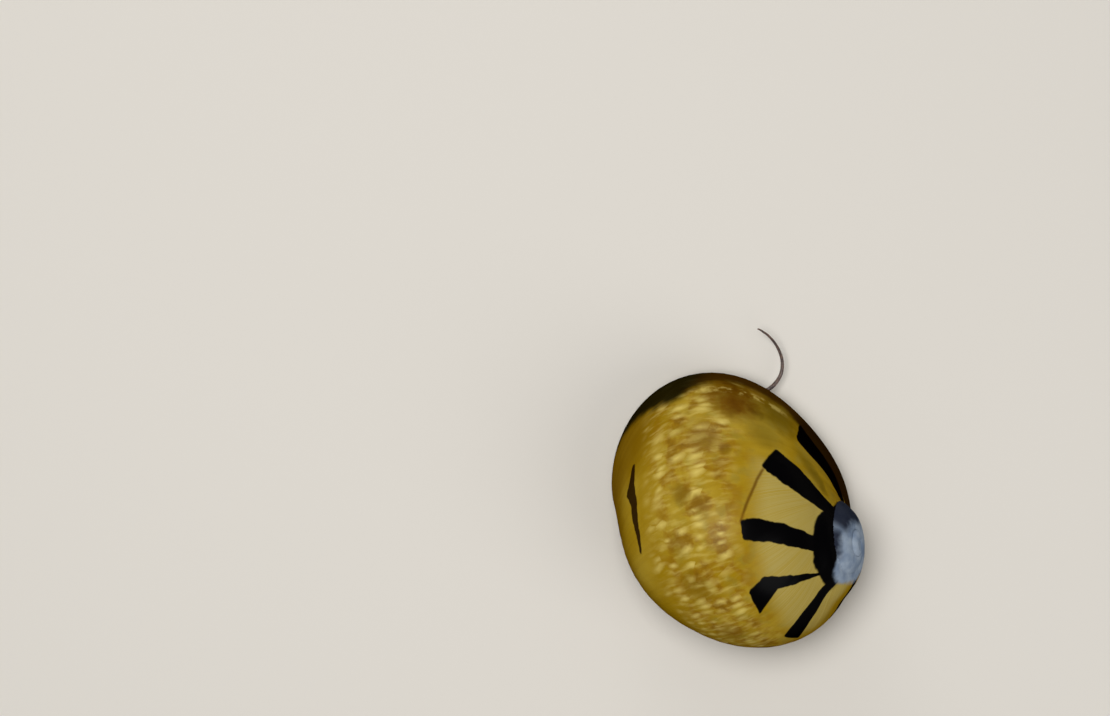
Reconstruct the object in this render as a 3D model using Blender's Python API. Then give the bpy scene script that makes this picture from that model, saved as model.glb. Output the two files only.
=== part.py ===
"""A nerite snail as it crawls, at life size: shell, soft body, feelers, eyes and operculum.

The head looks along -Y, the animal's right side is -X and the sole rests on the floor, z = 0.
Places on the animal are given as right, fore and up from the floor under the middle of the
shell's mouth, and the whole animal is centred on its own box at the end.
"""
import math

import bmesh
import bpy
from mathutils import Matrix, Vector
from mathutils.bvhtree import BVHTree

MM = 0.001
GAP = 0.3 * MM  # what touching pieces keep between them
WELD = 0.002 * MM  # points closer than this are one

# Shell: one oval section that turns about the coiling axis and grows away from the apex.
MOUTH_UP = 1.9 * MM  # plane of the lip above the floor
WHORL_RATIO = 2.8  # size of a whorl against the one before
AXIS_CLOCK = -75.7  # degrees from the head, clockwise from above, towards the shell's base
AXIS_DIP = math.radians(23.8)
APEX_CLOCK = 121.5
APEX_OUT = 7.75 * MM
APEX_UP = MOUTH_UP + 3.91 * MM
SECTION_ALONG = 9.295 * MM  # middle of the section from the apex, along the axis
SECTION_OUT = 3.5 * MM  # and away from it
SECTION_HALF_LONG = 8.26 * MM
SECTION_HALF_WIDE = 7.27 * MM
SECTION_TILT = math.radians(24.0)
SHELL_COLUMNS = 56  # round one whorl
SHELL_ROWS = 14  # across it, from lip to suture
SPIRE_TURNS = 1.4
APEX_WORN = 0.15 * MM  # what wear takes off the tip
SPIRE_RISE = 0.6 * MM  # how far the spire stands out past an even spiral
SPIRE_RISE_FADES = (2.0 * MM, 4.0 * MM)  # distances from the coiling axis
SWELLS = (  # how the rim, seen from above, departs from the spiral: waves round it, mm out, where they peak
    (0, -0.03, 0.0), (1, 0.134, -92.1), (2, 0.068, 57.1), (3, 0.34, 8.5), (4, 0.114, -4.2),
)
SWELL_FROM, SWELL_FULL = 0.55, 1.0  # shares of the oval from above

COLUMNS_CLOSE_AT = 0.26  # share of the turn, back from the suture, where the lip bends most
COLUMNS_CLOSER = 0.6

# The shell's oval from above, and the rounded base that fills it below its widest line
OVAL_HALF_LONG = 9.25 * MM
OVAL_HALF_WIDE = 7.4 * MM
OVAL_CLOCK = -16.6  # its long axis from the head
BASE_DRAWN_IN = 1.1 * MM
BASE_STARTS = (math.radians(-212), math.radians(-150))  # turns where the base starts and is full
BASE_DEEPENS = (math.radians(-135), math.radians(-38))  # turns between which it draws in less and less

# Inside of the shell
LIP_WALL = 0.55 * MM
DOME_WALL = 0.95 * MM
WALL_FULL_AT = math.radians(25)  # elevation where the wall reaches its full thickness
DECK_THICK = 1.0 * MM
DECK_BEHIND = 1.9 * MM  # edge of the deck behind the middle of the mouth
BODY_BELOW = 0.1 * MM  # what the mantle stands out of the mouth
LINING_COLUMNS = 36
LINING_RINGS = 8

# Foot
SOLE_HALF_LONG = 7.3 * MM
SOLE_HALF_WIDE = 5.7 * MM
SOLE_FORE = -0.9 * MM  # middle of the sole
SOLE_RIM = 0.4 * MM
SOLE_BACK = 0.72 * MM  # thickness behind, under the operculum
NECK_TOP = 1.5 * MM
NECK_FORE = 2.5 * MM  # middle of the stout column that rises into the shell
NECK_HALF_LONG = 4.4 * MM
NECK_HALF_WIDE = 3.7 * MM
HEAD_CUT = 5.85 * MM  # where head and foot meet

# Head
SNOUT_TIP = 8.85 * MM
SNOUT_HALF_WIDE = 2.45 * MM
SNOUT_TOP = 1.55 * MM
SNOUT_UNDER = 0.2 * MM
SNOUT_NOTCH = 0.3 * MM
MOUTH_WIDE = 1.7 * MM
MOUTH_HIGH = 0.3 * MM
MOUTH_DEEP = 0.45 * MM
MOUTH_SLIT_UP = 0.55 * MM

# Feelers, eyestalks and eyes, each on both sides
FEELER_BASE = 0.3 * MM  # radius
FEELER_END = 0.13 * MM
FEELER_TAPER = 3.0  # how late they narrow
FEELER_LENGTHS = 3
FEELER_SIDES = 10
STALK_BASE = (2.72, 6.4, 1.1)  # right, fore, up in millimetres
STALK_END = (3.4, 6.15, 1.22)
STALK_RADIUS = 0.36 * MM
EYE_RADIUS = 0.27 * MM
EYE_GAP = 0.15 * MM

# The right feeler shows past the lip; the left one lies along it, underneath.
FEELER_PATHS = {
    "right": [(2.82, 7.15, 1.0), (3.7, 6.9, 1.05), (4.6, 7.05, 1.0), (5.35, 7.65, 0.95), (5.68, 8.5, 1.0),
              (5.62, 9.4, 1.15), (5.3, 10.2, 1.35), (4.87, 10.75, 1.5)],
    "left": [(-2.82, 7.15, 1.0), (-3.7, 7.1, 1.05), (-4.7, 6.75, 1.05), (-5.5, 6.0, 1.0), (-6.05, 5.0, 0.95),
             (-6.35, 3.9, 0.95), (-6.45, 2.8, 1.0)],
}

# Operculum, carried on the back of the foot
LID_RIGHT = 0.5 * MM
LID_FORE = -4.4 * MM
LID_HALF_WIDE = 4.0 * MM
LID_HALF_LONG = 2.7 * MM
LID_THICK = 0.5 * MM
LID_UP = 1.03 * MM
LID_STRAIGHT = 1.5 * MM  # its straight edge, fore of its middle

COLOURS = {
    "shell": ((0.52, 0.34, 0.05, 1.0), 0.25),
    "flesh": ((0.09, 0.085, 0.07, 1.0), 0.45),
    "sole": ((0.30, 0.29, 0.25, 1.0), 0.5),
    "eye": ((0.01, 0.01, 0.012, 1.0), 0.1),
    "lid": ((0.35, 0.30, 0.27, 1.0), 0.35),
}


def spot(right, fore, up):
    """Point of the model from distances to the animal's right, forward and up."""
    return Vector((-right, -fore, up))


def clock(degrees):
    """Level direction at this angle from the head, clockwise seen from above."""
    turn = math.radians(degrees)
    return spot(math.sin(turn), math.cos(turn), 0.0)


def smooth_step(value, low, high):
    """0 below low, 1 above high and a soft change between."""
    part = min(max((value - low) / (high - low), 0.0), 1.0)
    return part * part * (3 - 2 * part)


def first_root(function, start, end, steps=240):
    """First place between start and end where the function changes sign."""
    before = start
    for step in range(1, steps + 1):
        after = start + (end - start) * step / steps
        if function(before) * function(after) <= 0:
            break
        before = after
    for _ in range(40):
        middle = (before + after) / 2
        if function(before) * function(middle) <= 0:
            after = middle
        else:
            before = middle
    return (before + after) / 2


AXIS = clock(AXIS_CLOCK) * math.cos(AXIS_DIP) - Vector((0, 0, math.sin(AXIS_DIP)))
FRONT = clock(AXIS_CLOCK + 90)
UNDER = AXIS.cross(FRONT)
APEX = clock(APEX_CLOCK) * APEX_OUT + Vector((0, 0, APEX_UP))
GROWTH = math.log(WHORL_RATIO) / math.tau


def section(angle):
    """Section of the whorl at full size: distance along the axis and away from it."""
    long = SECTION_HALF_LONG * math.cos(angle)
    wide = SECTION_HALF_WIDE * math.sin(angle)
    along = SECTION_ALONG + long * math.cos(SECTION_TILT) - wide * math.sin(SECTION_TILT)
    out = SECTION_OUT + long * math.sin(SECTION_TILT) + wide * math.cos(SECTION_TILT)
    return along, out


def turn_at(column):
    """How far the section has turned, this many columns back from where the lip meets the suture."""
    share = column / SHELL_COLUMNS
    start = math.tau * COLUMNS_CLOSE_AT
    bunched = COLUMNS_CLOSER * (math.sin(math.tau * share - start) + math.sin(start))
    return LAST_TURN - math.tau * share + bunched


def in_section(along, out):
    """The same point as fractions of the section's half length and half width."""
    along -= SECTION_ALONG
    out -= SECTION_OUT
    long = along * math.cos(SECTION_TILT) + out * math.sin(SECTION_TILT)
    wide = out * math.cos(SECTION_TILT) - along * math.sin(SECTION_TILT)
    return long / SECTION_HALF_LONG, wide / SECTION_HALF_WIDE


def later_whorl(angle):
    """Point of the section as the next whorl sees it, in that whorl's own section."""
    along, out = section(angle)
    return in_section(along * WHORL_RATIO, out * WHORL_RATIO)


def how_wide(point):
    """Distance of a point from the middle of the mouth, as a share of the shell's oval from above."""
    ahead = point.dot(clock(OVAL_CLOCK)) / OVAL_HALF_LONG
    across = point.dot(clock(OVAL_CLOCK + 90)) / OVAL_HALF_WIDE
    return math.hypot(ahead, across)


def swollen(point):
    """The point moved level, in or out, as the real rim is from above."""
    around = math.atan2(-point.x, -point.y)
    out = sum(size * math.cos(waves * (around - math.radians(peak))) for waves, size, peak in SWELLS)
    share = smooth_step(how_wide(point), SWELL_FROM, SWELL_FULL)
    return point + point.to_2d().normalized().to_3d() * out * share * MM


def shell_point(turn, angle):
    """Point of the outer surface where the section has turned this far."""
    along, out = section(angle)
    level = FRONT * math.cos(turn) + UNDER * math.sin(turn)
    grown = math.exp(GROWTH * turn)
    spire_side = smooth_step(angle, math.radians(60), math.radians(90))
    rise = SPIRE_RISE * spire_side * (1 - smooth_step(out * grown, *SPIRE_RISE_FADES))
    return swollen(APEX + AXIS * (along * grown - rise) + level * out * grown)


SUTURE = first_root(lambda a: Vector(later_whorl(a)).length - 1, math.radians(108), math.radians(200))
SEAM = math.atan2(later_whorl(SUTURE)[1], later_whorl(SUTURE)[0])
LAST_TURN = first_root(lambda t: shell_point(t, SUTURE).z - MOUTH_UP, 0.0, math.radians(120))


def lowest_angle(column):
    """Where the exposed part of a section ends: at the lip, or at the whorl that covers it."""
    if column == 0:
        return SUTURE
    if column >= SHELL_COLUMNS:
        return SEAM
    return first_root(lambda a: shell_point(turn_at(column), a).z - MOUTH_UP, SUTURE, -math.pi / 2)


def finish(name):
    """Material with the part's plain colour."""
    material = bpy.data.materials.get(name) or bpy.data.materials.new(name)
    material.use_nodes = True
    shader = material.node_tree.nodes["Principled BSDF"]
    colour, roughness = COLOURS[name]
    shader.inputs["Base Color"].default_value = colour
    shader.inputs["Roughness"].default_value = roughness
    return material


def add_object(name, bm, colour):
    """New object from a bmesh, its faces pointing out."""
    bmesh.ops.recalc_face_normals(bm, faces=bm.faces)
    mesh = bpy.data.meshes.new(name)
    bm.to_mesh(mesh)
    bm.free()
    mesh.materials.append(finish(colour))
    mesh.shade_smooth()
    mesh.set_sharp_from_angle(angle=math.radians(35))
    thing = bpy.data.objects.new(name, mesh)
    bpy.context.scene.collection.objects.link(thing)
    return thing


def combine(thing, other, operation):
    """Cut the other out of the thing, or join the two, and remove the other."""
    boolean = thing.modifiers.new("combine", "BOOLEAN")
    boolean.operation = operation
    boolean.object = other
    bpy.context.view_layer.update()
    shaped = thing.evaluated_get(bpy.context.evaluated_depsgraph_get())
    mesh = bpy.data.meshes.new_from_object(shaped)
    thing.modifiers.clear()
    thing.data = mesh
    bpy.data.objects.remove(other)


def block(low, high, turn=0.0):
    """Closed block between two corners, turned about the vertical."""
    bm = bmesh.new()
    middle = (low + high) / 2
    size = high - low
    place = Matrix.Rotation(turn, 4, "Z") @ Matrix.Translation(middle) @ Matrix.Diagonal((*size, 1.0))
    bmesh.ops.create_cube(bm, size=1.0, matrix=place)
    return bm


def pressed_ball(columns, rings, place):
    """Closed body from a ball; place(round, out, is_top) gives each point, out 0 in the middle, 1 at the rim."""
    bm = bmesh.new()
    bmesh.ops.create_uvsphere(bm, u_segments=columns, v_segments=2 * rings, radius=1.0)
    for vert in bm.verts:
        height = math.asin(max(-1.0, min(1.0, vert.co.z)))
        out = 1 - abs(height) / (math.pi / 2)
        vert.co = place(math.atan2(vert.co.y, vert.co.x), out, vert.co.z > -1e-4)
    return bm


def cut_plane(bm, point, normal):
    """Take off what lies past a plane and close the cut."""
    whole = bm.verts[:] + bm.edges[:] + bm.faces[:]
    cut = bmesh.ops.bisect_plane(bm, geom=whole, dist=WELD, plane_co=point, plane_no=normal, clear_outer=True)
    edges = [item for item in cut["geom_cut"] if isinstance(item, bmesh.types.BMEdge)]
    bmesh.ops.edgeloop_fill(bm, edges=edges)


def flatten_floor(bm, up):
    """Join the level faces at this height into one."""
    level = [face for face in bm.faces if all(abs(vert.co.z - up) < WELD for vert in face.verts)]
    bmesh.ops.dissolve_faces(bm, faces=level)


def oval(turn, half_x, half_y, power=2.0):
    """Distance from the middle to the rim of an oval in this direction."""
    across = abs(math.cos(turn)) / half_x
    ahead = abs(math.sin(turn)) / half_y
    return (across ** power + ahead ** power) ** (-1 / power)


def lowest_peak(values):
    """Place of the first value that the next one doesn't exceed."""
    return next((at for at in range(len(values) - 1) if values[at] >= values[at + 1]), len(values) - 1)


def whorl_column(column):
    """Points of one section from the lip up to the suture, with the base rounded out below the widest one."""
    turn = turn_at(column)
    low = lowest_angle(column)
    angles = [low + (SUTURE - low) * row / SHELL_ROWS for row in range(SHELL_ROWS + 1)]
    points = [shell_point(turn, angle) for angle in angles]
    fine = [low + (SUTURE - low) * step / 200 for step in range(201)]
    widest = fine[lowest_peak([how_wide(shell_point(turn, angle)) for angle in fine])]
    edge = shell_point(turn, widest)
    fullness = smooth_step(turn, *BASE_STARTS)
    if column == 0 or fullness == 0:
        return points
    inward = -edge.to_2d().normalized().to_3d() * BASE_DRAWN_IN * (1 - smooth_step(turn, *BASE_DEEPENS))
    for row, angle in enumerate(angles):
        if angle < widest:
            bend = (widest - angle) / (widest - low) * math.pi / 2
            drop = Vector((0, 0, (MOUTH_UP - edge.z) * math.sin(bend)))
            full = edge + drop + inward * (1 - math.cos(bend))
            points[row] = points[row].lerp(full, fullness)
    return points


def shell_dome():
    """Outer surface of the whorls down to the lip, closed by a flat across the mouth."""
    columns = round(SHELL_COLUMNS * (1 + SPIRE_TURNS))
    bm = bmesh.new()
    bmesh.ops.create_grid(bm, x_segments=columns, y_segments=SHELL_ROWS, size=0.5)
    places = [whorl_column(column) for column in range(columns + 1)]
    for vert in bm.verts:
        vert.co = places[round((0.5 - vert.co.x) * columns)][round((vert.co.y + 0.5) * SHELL_ROWS)]
    bmesh.ops.remove_doubles(bm, verts=bm.verts, dist=WELD)
    rims = bmesh.ops.holes_fill(bm, edges=[edge for edge in bm.edges if edge.is_boundary], sides=0)
    worn = [face for face in rims["faces"] if face.calc_center_median().z > MOUTH_UP + WELD]
    centre = bmesh.ops.poke(bm, faces=worn)["verts"][0]
    centre.co = swollen(APEX + AXIS * (APEX_WORN - SPIRE_RISE))
    quads = [face for face in bm.faces if len(face.verts) == 4]
    bmesh.ops.triangulate(bm, faces=quads, quad_method="SHORT_EDGE")
    return bm


def lining(outside, inset, below):
    """Closed dome inside the shell: a ball cast out to the shell and drawn back by the wall and the inset."""
    mouth = Vector((0, 0, MOUTH_UP))
    graze = math.radians(1.5)

    def reach(turn, height):
        height = max(height, graze)
        level = Vector((math.cos(turn), math.sin(turn), 0)) * math.cos(height)
        way = level + Vector((0, 0, math.sin(height)))
        hit = outside.ray_cast(mouth + way * LIP_WALL, way)[0]
        wall = LIP_WALL + (DOME_WALL - LIP_WALL) * smooth_step(height, 0, WALL_FULL_AT)
        return (hit - mouth).length - wall - inset, way

    def place(turn, out, is_top):
        if is_top:
            distance, way = reach(turn, (1 - out) * math.pi / 2)
            return mouth + way * distance
        distance, _ = reach(turn, 0)
        span = distance * out * LINING_RINGS / (LINING_RINGS - 1)
        return Vector((math.cos(turn) * span, math.sin(turn) * span, MOUTH_UP - below))

    bm = pressed_ball(LINING_COLUMNS, LINING_RINGS, place)
    flatten_floor(bm, MOUTH_UP - below)
    return bm


def deck_block(clear):
    """Block behind the edge of the deck, up to its inner face, grown by a clearance."""
    reach = 2 * APEX_OUT
    low = Vector((-reach, DECK_BEHIND - clear, 0.0))
    high = Vector((reach, reach, MOUTH_UP + DECK_THICK + clear))
    return block(low, high, -math.radians(AXIS_CLOCK + 90))


def build_shell_and_mantle():
    """The hollow shell with its deck, and the soft body that fills it."""
    shell = add_object("shell", shell_dome(), "shell")
    whole = bmesh.new()
    whole.from_mesh(shell.data)
    outside = BVHTree.FromBMesh(whole)
    whole.free()
    cavity = add_object("cavity", lining(outside, 0.0, 1.0 * MM), "shell")
    combine(cavity, add_object("deck", deck_block(0.0), "shell"), "DIFFERENCE")
    combine(shell, cavity, "DIFFERENCE")
    mantle = add_object("mantle", lining(outside, GAP, BODY_BELOW), "flesh")
    combine(mantle, add_object("deck", deck_block(GAP), "shell"), "DIFFERENCE")


def foot_top(right, fore, out):
    """Height of the foot's upper side."""
    base = SOLE_RIM + (SOLE_BACK - SOLE_RIM) * (1 - out ** 3)
    far = math.hypot(right / NECK_HALF_WIDE, (fore - NECK_FORE) / NECK_HALF_LONG)
    return base + (NECK_TOP - base) * (1 - smooth_step(far, 0.75, 1.15))


def build_foot():
    rings = 12

    def place(turn, out, is_top):
        rim = oval(turn, SOLE_HALF_WIDE, SOLE_HALF_LONG, 2.2)
        span = rim * out if is_top else 0.97 * rim * out * rings / (rings - 1)
        right = span * math.cos(turn)
        fore = SOLE_FORE + span * math.sin(turn)
        return spot(right, fore, foot_top(right, fore, out) if is_top else 0.0)

    bm = pressed_ball(48, rings, place)
    flatten_floor(bm, 0.0)
    cut_plane(bm, spot(0, HEAD_CUT - GAP / 2, 0), spot(0, 1, 0))
    add_object("foot", bm, "sole")


def build_head():
    rings = 8
    half_long = SNOUT_TIP - HEAD_CUT + 1.0 * MM

    def place(turn, out, is_top):
        rim = oval(turn, SNOUT_HALF_WIDE, half_long, 2.8)
        right = rim * out * math.cos(turn)
        notch = SNOUT_NOTCH * out ** 4 * math.exp(-(right / (0.7 * MM)) ** 2) * max(math.sin(turn), 0.0)
        fore = SNOUT_TIP - half_long + rim * out * math.sin(turn) - notch
        middle = (SNOUT_TOP + SNOUT_UNDER) / 2
        swell = (1 - out ** 3) ** 0.5 * (SNOUT_TOP - SNOUT_UNDER) / 2
        return spot(right, fore, middle + (swell if is_top else -swell))

    bm = pressed_ball(36, rings, place)
    cut_plane(bm, spot(0, HEAD_CUT + GAP / 2, 0), spot(0, -1, 0))
    head = add_object("head", bm, "flesh")
    slit = bmesh.new()
    place = Matrix.Translation(spot(0, SNOUT_TIP - SNOUT_NOTCH, MOUTH_SLIT_UP))
    size = Matrix.Diagonal((MOUTH_WIDE / 2, MOUTH_DEEP, MOUTH_HIGH / 2, 1.0))
    bmesh.ops.create_uvsphere(slit, u_segments=16, v_segments=8, radius=1.0, matrix=place @ size)
    combine(head, add_object("slit", slit, "flesh"), "DIFFERENCE")


def smooth_path(points, steps):
    """Points along a smooth curve through the given ones, in metres."""
    marks = [spot(*point) * MM for point in points]
    marks = [2 * marks[0] - marks[1]] + marks + [2 * marks[-1] - marks[-2]]
    path = []
    for index in range(1, len(marks) - 2):
        a, b, c, d = marks[index - 1:index + 3]
        for step in range(steps):
            t = step / steps
            path.append(0.5 * (2 * b + (c - a) * t + (2 * a - 5 * b + 4 * c - d) * t ** 2
                               + (3 * b - a - 3 * c + d) * t ** 3))
    path.append(marks[-2])
    return path


def tube(path, radii, sides):
    """Closed tapered tube along a path, grown ring by ring."""
    bm = bmesh.new()
    way = (path[1] - path[0]).normalized()
    place = Matrix.Translation(path[0]) @ way.to_track_quat("Z", "Y").to_matrix().to_4x4()
    bmesh.ops.create_circle(bm, cap_ends=True, radius=radii[0], segments=sides, matrix=place)
    rim = bm.edges[:]
    for index in range(1, len(path)):
        grown = bmesh.ops.extrude_edge_only(bm, edges=rim)["geom"]
        ring = {item for item in grown if isinstance(item, bmesh.types.BMVert)}
        rim = [item for item in grown if isinstance(item, bmesh.types.BMEdge) and ring.issuperset(item.verts)]
        next_way = (path[min(index + 1, len(path) - 1)] - path[index - 1]).normalized()
        turn = way.rotation_difference(next_way).to_matrix().to_4x4()
        size = Matrix.Scale(radii[index] / radii[index - 1], 4)
        step = Matrix.Translation(path[index]) @ turn @ size @ Matrix.Translation(-path[index - 1])
        bmesh.ops.transform(bm, matrix=step, verts=list(ring))
        way = next_way
    bmesh.ops.holes_fill(bm, edges=rim, sides=0)
    return bm


def build_feelers():
    """Each feeler in three lengths, the last one closed to a fine tip."""
    steps = 4
    for side, points in FEELER_PATHS.items():
        path = smooth_path(points, steps)
        share = [index / (len(path) - 1) for index in range(len(path))]
        radii = [FEELER_BASE + (FEELER_END - FEELER_BASE) * part ** FEELER_TAPER for part in share]
        cuts = [round(len(path) * number / FEELER_LENGTHS) for number in range(FEELER_LENGTHS + 1)]
        for number in range(FEELER_LENGTHS):
            piece = path[cuts[number]:cuts[number + 1]]
            if number < FEELER_LENGTHS - 1:
                end_before_gap(piece, path[cuts[number + 1]])
            size = radii[cuts[number]:cuts[number] + len(piece)]
            if number == FEELER_LENGTHS - 1:
                piece.append(piece[-1] + (piece[-1] - piece[-2]).normalized() * size[-1] * 0.7)
                size.append(size[-1] * 0.5)
            add_object(f"tentacle_{side}_{number + 1}", tube(piece, size, FEELER_SIDES), "flesh")


def end_before_gap(piece, next_start):
    """Shorten a length so that it ends a gap before the point where the next one starts."""
    while (piece[-1] - next_start).length < 1.5 * GAP:
        piece.pop()
    piece.append(next_start + (piece[-1] - next_start).normalized() * GAP)


def build_eyes():
    for side, sign in (("right", 1), ("left", -1)):
        base = spot(sign * STALK_BASE[0], STALK_BASE[1], STALK_BASE[2]) * MM
        end = spot(sign * STALK_END[0], STALK_END[1], STALK_END[2]) * MM
        stalk = [base, base.lerp(end, 0.5), end]
        radii = [STALK_RADIUS, STALK_RADIUS * 0.92, STALK_RADIUS * 0.85]
        add_object(f"eyestalk_{side}", tube(stalk, radii, 12), "flesh")
        way = (end - base).normalized()
        eye = bmesh.new()
        seat = end + way * EYE_GAP
        middle = seat + way * EYE_RADIUS * 0.3
        bmesh.ops.create_uvsphere(eye, u_segments=12, v_segments=8, radius=EYE_RADIUS,
                                  matrix=Matrix.Translation(middle))
        cut_plane(eye, seat, -way)
        add_object(f"eye_{side}", eye, "eye")


def build_lid():
    """Half-moon plate with a low crown and a straight edge towards the shell's deck."""
    rings = 5

    def place(turn, out, is_top):
        rim = oval(turn, LID_HALF_WIDE, LID_HALF_LONG, 2.0)
        crown = LID_THICK * (0.8 + 0.2 * (1 - out ** 2)) if is_top else 0.0
        span = rim * out if is_top else 0.95 * rim * out * rings / (rings - 1)
        return spot(LID_RIGHT + span * math.cos(turn), LID_FORE + span * math.sin(turn), LID_UP + crown)

    bm = pressed_ball(28, rings, place)
    flatten_floor(bm, LID_UP)
    cut_plane(bm, spot(0, LID_FORE + LID_STRAIGHT, 0), spot(0, 1, 0))
    add_object("operculum", bm, "lid")


def centre_on_box():
    """Put the middle of the whole animal's box over the origin."""
    things = [thing for thing in bpy.context.scene.objects if thing.type == "MESH"]
    points = [vert.co for thing in things for vert in thing.data.vertices]
    shift = Matrix.Identity(4)
    for axis in range(2):
        values = [point[axis] for point in points]
        shift[axis][3] = -(min(values) + max(values)) / 2
    for thing in things:
        thing.data.transform(shift)


def build_all():
    build_shell_and_mantle()
    build_foot()
    build_head()
    build_feelers()
    build_eyes()
    build_lid()
    centre_on_box()


for leftover in list(bpy.data.objects):
    bpy.data.objects.remove(leftover)
build_all()
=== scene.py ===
# %% [markdown]
# # A nerite snail
#
# A nerite is a small snail with a heavy domed shell, a low spire at one side and a broad foot.
# This one crawls with its head forward, and it is seen from straight above.
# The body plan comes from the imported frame, in metres. This lesson dresses it: the shell gets its
# growth lines, stripes and worn spire, and one skin takes the place of all the plain flesh solids.

import math

import bmesh
import bpy
import numpy as np
from mathutils import Matrix, Vector, noise


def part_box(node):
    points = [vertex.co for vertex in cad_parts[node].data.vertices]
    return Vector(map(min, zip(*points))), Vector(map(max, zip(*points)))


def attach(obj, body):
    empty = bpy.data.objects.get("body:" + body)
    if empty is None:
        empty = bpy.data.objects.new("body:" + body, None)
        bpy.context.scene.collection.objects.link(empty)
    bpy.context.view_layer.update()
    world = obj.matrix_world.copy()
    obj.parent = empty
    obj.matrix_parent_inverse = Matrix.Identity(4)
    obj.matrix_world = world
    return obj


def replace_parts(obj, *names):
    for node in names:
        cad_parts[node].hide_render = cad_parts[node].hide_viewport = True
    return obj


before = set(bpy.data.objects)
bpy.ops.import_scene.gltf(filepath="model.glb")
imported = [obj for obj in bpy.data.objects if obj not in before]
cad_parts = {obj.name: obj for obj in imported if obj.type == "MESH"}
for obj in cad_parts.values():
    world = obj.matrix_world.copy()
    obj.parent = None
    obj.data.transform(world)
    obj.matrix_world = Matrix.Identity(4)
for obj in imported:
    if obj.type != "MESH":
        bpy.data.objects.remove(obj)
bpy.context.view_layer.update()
MM = 0.001
print("nodes:", ", ".join(sorted(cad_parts)))

# %% [markdown]
# ## Where things are
#
# Places on the animal are given as distances to its right, forward and up, measured from the
# middle of the shell's mouth. The frame is centred on its own box, so one shift, read from the
# foot's box, takes the animal's own places into the frame.

# %% Places on the animal
SOLE_END = -8.2 * MM  # the rear of the sole, fore of the mouth's middle
foot_low, foot_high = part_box("foot")
SHIFT = Vector(((foot_low.x + foot_high.x) / 2, foot_high.y + SOLE_END, 0))


def spot(right, fore, up):
    """Point from distances to the animal's right, forward and up."""
    return Vector((-right, -fore, up))


def clock(degrees):
    """Level direction at this angle from the head, clockwise seen from above."""
    turn = math.radians(degrees)
    return spot(math.sin(turn), math.cos(turn), 0)


def smooth_step(value, low, high):
    """0 below low, 1 above high and a soft change between."""
    part = min(max((value - low) / (high - low), 0), 1)
    return part * part * (3 - 2 * part)


def first_root(function, start, end, steps=120):
    """First place between start and end where the function changes sign."""
    before = start
    for step in range(1, steps + 1):
        after = start + (end - start) * step / steps
        if function(before) * function(after) <= 0:
            break
        before = after
    for _ in range(30):
        middle = (before + after) / 2
        if function(before) * function(middle) <= 0:
            after = middle
        else:
            before = middle
    return (before + after) / 2


print(f"shift from the animal to the frame: {SHIFT.x / MM:.2f}, {SHIFT.y / MM:.2f} mm")

# %% [markdown]
# ## The spiral
#
# A snail adds to its shell only at the lip, and each whorl is a larger copy of the one before. So
# one oval section that turns round the coiling axis, growing by the same ratio in each turn, draws
# the whole shell. Two angles name any place on it: how far the section has turned, and the angle
# on the section itself. The pattern is painted with the same two angles later on.

# %% Numbers of the spiral
MOUTH_UP = 1.9 * MM
WHORL_RATIO = 2.8
AXIS_CLOCK = -75.7
AXIS_DIP = math.radians(23.8)
APEX_CLOCK = 121.5
APEX_OUT = 7.75 * MM
APEX_UP = MOUTH_UP + 3.91 * MM
SECTION_ALONG = 9.295 * MM
SECTION_OUT = 3.5 * MM
SECTION_HALF_LONG = 8.26 * MM
SECTION_HALF_WIDE = 7.27 * MM
SECTION_TILT = math.radians(24)
SPIRE_RISE = 0.6 * MM
SPIRE_RISE_FADES = (2 * MM, 4 * MM)
OVAL_HALF_LONG = 9.25 * MM
OVAL_HALF_WIDE = 7.4 * MM
OVAL_CLOCK = -16.6
SWELLS = (  # waves round the rim, millimetres outwards, and where they peak
    (0, -0.03, 0), (1, 0.134, -92.1), (2, 0.068, 57.1), (3, 0.34, 8.5), (4, 0.114, -4.2),
)
SWELL_FROM, SWELL_FULL = 0.55, 1

AXIS = clock(AXIS_CLOCK) * math.cos(AXIS_DIP) - Vector((0, 0, math.sin(AXIS_DIP)))
FRONT = clock(AXIS_CLOCK + 90)
UNDER = AXIS.cross(FRONT)
APEX = clock(APEX_CLOCK) * APEX_OUT + Vector((0, 0, APEX_UP))
GROWTH = math.log(WHORL_RATIO) / math.tau


def section(angle):
    """Section of the whorl at full size: distance along the axis and away from it."""
    long = SECTION_HALF_LONG * math.cos(angle)
    wide = SECTION_HALF_WIDE * math.sin(angle)
    along = SECTION_ALONG + long * math.cos(SECTION_TILT) - wide * math.sin(SECTION_TILT)
    out = SECTION_OUT + long * math.sin(SECTION_TILT) + wide * math.cos(SECTION_TILT)
    return along, out


def later_whorl(angle):
    """Point of the section as the next whorl sees it, in that whorl's own section."""
    along, out = section(angle)
    along = along * WHORL_RATIO - SECTION_ALONG
    out = out * WHORL_RATIO - SECTION_OUT
    long = along * math.cos(SECTION_TILT) + out * math.sin(SECTION_TILT)
    wide = out * math.cos(SECTION_TILT) - along * math.sin(SECTION_TILT)
    return Vector((long / SECTION_HALF_LONG, wide / SECTION_HALF_WIDE))


def from_axis(turn, angle):
    """Distance of a point of the shell from the coiling axis."""
    return section(angle)[1] * math.exp(GROWTH * turn)


def how_wide(point):
    """Distance from the mouth's middle, as a share of the shell's oval from above."""
    ahead = point.dot(clock(OVAL_CLOCK)) / OVAL_HALF_LONG
    across = point.dot(clock(OVAL_CLOCK + 90)) / OVAL_HALF_WIDE
    return math.hypot(ahead, across)


def swollen(point):
    """The point moved level, in or out, as the real rim is from above."""
    around = math.atan2(-point.x, -point.y)
    out = sum(size * math.cos(waves * (around - math.radians(peak)))
              for waves, size, peak in SWELLS)
    share = smooth_step(how_wide(point), SWELL_FROM, SWELL_FULL)
    return point + point.to_2d().normalized().to_3d() * out * share * MM


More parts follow.
